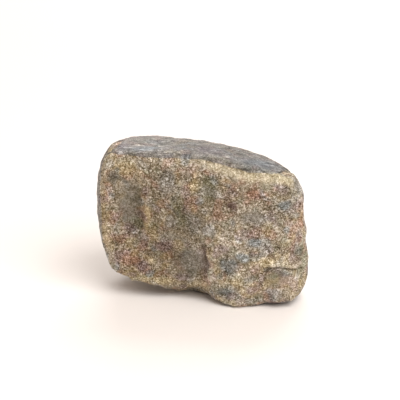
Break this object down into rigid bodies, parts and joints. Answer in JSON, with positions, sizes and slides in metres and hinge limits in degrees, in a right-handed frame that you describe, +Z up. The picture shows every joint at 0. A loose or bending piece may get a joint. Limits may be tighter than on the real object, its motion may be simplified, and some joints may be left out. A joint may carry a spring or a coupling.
{
  "type": "bornite specimen",
  "caption": "Worn, block-shaped piece of metallic copper ore with a grainy broken front, a step, a small ledge, a smoother skin on top and a small flat spot to rest on.",
  "frame": {"origin": "on the ground, under the middle of the stone", "axes": "+X along the long side, +Y from the broken front face to the back, +Z up"},
  "size_m": [0.05, 0.0294, 0.0368],
  "materials": {
    "ore": "grainy, dull metallic ore, brown-gold with grey, blue and purple tarnish"
  },
  "bodies": {
    "root": {"bornite_stone": "ore"}
  },
  "joints": []
}
